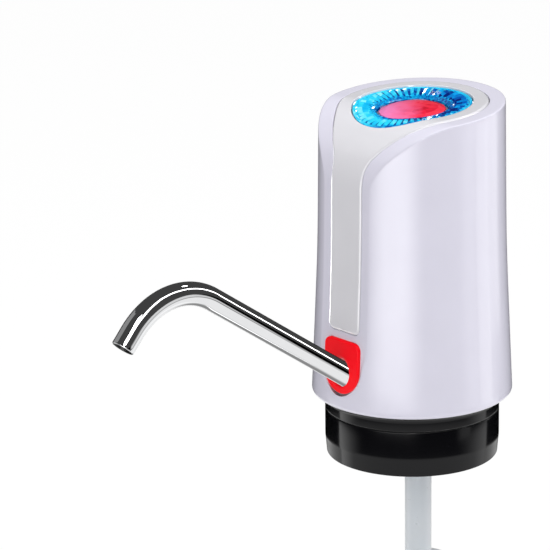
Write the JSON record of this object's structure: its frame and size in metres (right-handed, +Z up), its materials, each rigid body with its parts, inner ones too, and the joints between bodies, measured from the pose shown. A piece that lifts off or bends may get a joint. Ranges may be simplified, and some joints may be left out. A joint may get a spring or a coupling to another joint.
{
  "type": "bottled water pump",
  "caption": "Battery-powered pump that sits on a large water bottle's neck, with a jewelled push button, a curved pull-off metal spout and a suction hose.",
  "frame": {"origin": "centre of the collar's open mouth, on the plane of its lower rim, where the bottle's neck goes in", "axes": "+Z up along the collar's axis, away from the bottle; -Y towards the front, the side the spout leaves from; +X to the right of someone facing the pump's front"},
  "size_m": [0.0704, 0.167, 0.337],
  "materials": {
    "white_abs": "gloss",
    "panel_abs": "gloss",
    "black_abs": "gloss",
    "inner_abs": "matte",
    "blue_crystal": "clear gloss",
    "red_jewel": "gloss",
    "red_abs": "gloss",
    "chrome": "polished",
    "silicone": "translucent",
    "grey_silicone": "matte",
    "black_rubber": "matte",
    "zinc_steel": "plated",
    "green_board": "satin",
    "cell_wrap": "satin",
    "white_diffuser": "satin",
    "led": "gloss",
    "red_lead": "satin",
    "black_lead": "satin"
  },
  "bodies": {
    "body": {"housing_shell": "white_abs", "hood_panel": "panel_abs", "crystal_ring": "blue_crystal", "light_guide": "white_diffuser", "tact_switch": "inner_abs", "control_board": "green_board", "led_1": "led", "led_2": "led", "led_3": "led", "led_4": "led", "led_5": "led", "led_6": "led", "board_screw_1": "zinc_steel", "board_screw_2": "zinc_steel", "spout_escutcheon": "red_abs", "spout_socket": "inner_abs", "base_collar": "black_abs", "base_plate": "black_abs", "neck_gasket": "grey_silicone", "base_screw_1": "zinc_steel", "base_screw_2": "zinc_steel", "base_screw_3": "zinc_steel", "chassis": "inner_abs", "chassis_screw_1": "zinc_steel", "chassis_screw_2": "zinc_steel", "battery_cell": "cell_wrap", "battery_tab_top": "zinc_steel", "battery_tab_bottom": "zinc_steel", "battery_lead_red": "red_lead", "battery_lead_black": "black_lead", "motor_can": "zinc_steel", "motor_end_cap": "black_abs", "motor_lead_red": "red_lead", "motor_lead_black": "black_lead", "pump_case": "inner_abs", "pump_diaphragm": "black_rubber", "pump_head": "inner_abs", "inlet_tube": "silicone", "outlet_tube": "silicone", "charge_board": "green_board", "usb_socket": "zinc_steel", "hose_on_barb": "silicone", "suction_hose": "silicone", "hose_hank": "silicone", "hank_tie": "black_rubber"},
    "button": {"button_jewel": "red_jewel", "button_carrier": "white_abs", "switch_plunger": "black_abs"},
    "spout_seal": {"spout_o_ring": "black_rubber"},
    "spout": {"spout_tube": "chrome"},
    "rotor": {"motor_rotor": "zinc_steel"}
  },
  "joints": [
    {"name": "button_press", "type": "slide", "parent": "body", "child": "button", "axis": [0, 0.0698, -0.9976], "range_m": [0, 0.0008], "stiffness_N_per_m": 1500, "springref_m": -0.0006},
    {"name": "spout_swivel", "type": "hinge", "parent": "body", "child": "spout_seal", "pos_m": [0, -0.03383, 0.036], "axis": [0, -0.83, 0.5577], "continuous": true},
    {"name": "spout_pull", "type": "slide", "parent": "spout_seal", "child": "spout", "axis": [0, -0.83, 0.5577], "range_m": [0, 0.018]},
    {"name": "motor_spin", "type": "hinge", "parent": "body", "child": "rotor", "pos_m": [-0.0142, 0.004, 0.084], "axis": [0, 0, 1], "continuous": true}
  ]
}
